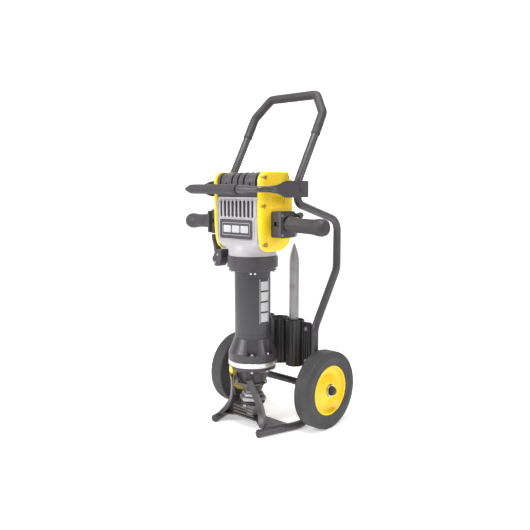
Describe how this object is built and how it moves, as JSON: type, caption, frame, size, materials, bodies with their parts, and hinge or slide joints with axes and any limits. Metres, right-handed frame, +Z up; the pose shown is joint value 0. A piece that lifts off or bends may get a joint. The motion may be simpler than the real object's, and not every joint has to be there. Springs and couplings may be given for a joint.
{
  "type": "electric jackhammer on trolley",
  "caption": "Heavy electric breaker hammer standing in a two-wheeled steel trolley, with a hinged retaining hoop and pockets for spare chisels.",
  "frame": {"origin": "middle of the object's box, on the ground that the wheels and feet rest on", "axes": "+Z up; -Y to the front, the side with the grille and badge; +X away from the mains inlet"},
  "size_m": [0.6062, 0.4168, 1.0902],
  "materials": {
    "frame_paint": "satin charcoal powder coat, faint orange peel",
    "black_plastic": "fine moulded grain, satin",
    "black_casting": "painted dark grey, satin",
    "barrel_paint": "painted dark grey, satin",
    "yellow_cover": "moulded yellow, semi gloss",
    "yellow_rim": "moulded yellow, semi gloss",
    "grey_casting": "silver grey painted casting, satin",
    "bright_ring": "machined bright",
    "grip_rubber": "matt, fine grain",
    "tyre_rubber": "matt",
    "tool_steel": "forged and ground, dull grey",
    "machined_steel": "machined",
    "latch_steel": "forged, bronzed brown",
    "motor_laminations": "laminated, varnished"
  },
  "bodies": {
    "trolley": {"left_side_tube": "frame_paint", "left_foot_plug": "grip_rubber", "left_axle_nut": "black_casting", "left_cradle_plate": "frame_paint", "left_bail_bolt": "machined_steel", "right_side_tube": "frame_paint", "right_foot_plug": "grip_rubber", "right_axle_nut": "black_casting", "right_cradle_plate": "frame_paint", "right_bail_bolt": "machined_steel", "handle_loop": "frame_paint", "handle_loop_grip": "grip_rubber", "axle_tube": "frame_paint", "axle_rod": "machined_steel", "base_plate": "frame_paint", "cradle_socket": "frame_paint", "socket_bumper": "grip_rubber", "chisel_holder": "black_plastic"},
    "left_wheel": {"left_tyre": "tyre_rubber", "left_rim": "yellow_rim", "left_wheel_bush": "black_plastic"},
    "right_wheel": {"right_tyre": "tyre_rubber", "right_rim": "yellow_rim", "right_wheel_bush": "black_plastic"},
    "chisel": {"spare_chisel": "tool_steel"},
    "bail": {"bail_hoop": "frame_paint", "bail_grip": "grip_rubber"},
    "breaker": {"left_cover": "yellow_cover", "left_handle_block": "black_plastic", "left_handle_flange": "black_plastic", "right_cover": "yellow_cover", "right_handle_block": "black_plastic", "right_handle_flange": "black_plastic", "motor_housing": "grey_casting", "front_grille": "grey_casting", "badge_plate": "black_plastic", "top_cap": "black_plastic", "cord_inlet": "black_plastic", "cord_gland": "grip_rubber", "bearing_collar": "black_plastic", "barrel": "barrel_paint", "barrel_flange": "black_casting", "nose_ring": "bright_ring", "nose_casting": "black_casting", "chuck_collar": "machined_steel", "stator": "motor_laminations", "cylinder_sleeve": "machined_steel"},
    "left_handle": {"left_handle_core": "machined_steel", "left_handle_grip": "grip_rubber"},
    "right_handle": {"right_handle_core": "machined_steel", "right_handle_grip": "grip_rubber"},
    "lever": {"switch_lever": "black_plastic"},
    "retainer": {"bit_retainer": "latch_steel"},
    "rotor": {"armature": "machined_steel", "fan": "black_plastic"},
    "crank": {"crank_gear": "machined_steel"},
    "rod": {"connecting_rod": "machined_steel"},
    "piston": {"piston": "machined_steel"},
    "ram": {"ram": "machined_steel"},
    "striker": {"striker": "machined_steel"}
  },
  "joints": [
    {"name": "left_wheel_spin", "type": "hinge", "parent": "trolley", "child": "left_wheel", "pos_m": [-0.1925, 0.08135, 0.127], "axis": [1, 0, 0], "continuous": true},
    {"name": "right_wheel_spin", "type": "hinge", "parent": "trolley", "child": "right_wheel", "pos_m": [0.1925, 0.08135, 0.127], "axis": [1, 0, 0], "continuous": true},
    {"name": "bail_swing", "type": "hinge", "parent": "trolley", "child": "bail", "pos_m": [0, -0.01065, 0.773], "axis": [-1, 0, 0], "range_deg": [0, 100]},
    {"name": "chisel_lift", "type": "slide", "parent": "trolley", "child": "chisel", "axis": [0, 0, 1], "range_m": [0, 0.16]},
    {"name": "breaker_lift", "type": "slide", "parent": "trolley", "child": "breaker", "axis": [0, 0, 1], "range_m": [0, 0.012]},
    {"name": "left_handle_float", "type": "hinge", "parent": "breaker", "child": "left_handle", "pos_m": [-0.146, -0.06065, 0.6675], "axis": [0, 1, 0], "range_deg": [-3, 3], "stiffness_Nm_per_rad": 150},
    {"name": "right_handle_float", "type": "hinge", "parent": "breaker", "child": "right_handle", "pos_m": [0.129, -0.06065, 0.6675], "axis": [0, 1, 0], "range_deg": [-3, 3], "stiffness_Nm_per_rad": 150},
    {"name": "switch_squeeze", "type": "hinge", "parent": "breaker", "child": "lever", "pos_m": [-0.185, -0.01865, 0.684], "axis": [0, 0, 1], "range_deg": [0, 6], "stiffness_Nm_per_rad": 2, "springref_deg": -2.86},
    {"name": "retainer_turn", "type": "hinge", "parent": "breaker", "child": "retainer", "pos_m": [0, -0.05565, 0.146], "axis": [0, 0, 1], "range_deg": [0, 30]},
    {"name": "crank_spin", "type": "hinge", "parent": "breaker", "child": "crank", "pos_m": [0, -0.05565, 0.672], "axis": [1, 0, 0], "continuous": true},
    {"name": "rotor_spin", "type": "hinge", "parent": "breaker", "child": "rotor", "pos_m": [0, -0.05565, 0.7504], "axis": [1, 0, 0], "continuous": true},
    {"name": "rod_swing", "type": "hinge", "parent": "crank", "child": "rod", "pos_m": [0, -0.05565, 0.652], "axis": [1, 0, 0], "continuous": true},
    {"name": "piston_slide", "type": "slide", "parent": "breaker", "child": "piston", "axis": [0, 0, 1], "range_m": [0, 0.04]},
    {"name": "ram_slide", "type": "slide", "parent": "breaker", "child": "ram", "axis": [0, 0, 1], "range_m": [0, 0.035]},
    {"name": "striker_slide", "type": "slide", "parent": "breaker", "child": "striker", "axis": [0, 0, 1], "range_m": [0, 0.02]}
  ],
  "couplings": [
    {"joint": "rotor_spin", "follows": "crank_spin", "ratio": -3.3077},
    {"joint": "rod_swing", "follows": "crank_spin", "ratio": -1}
  ]
}
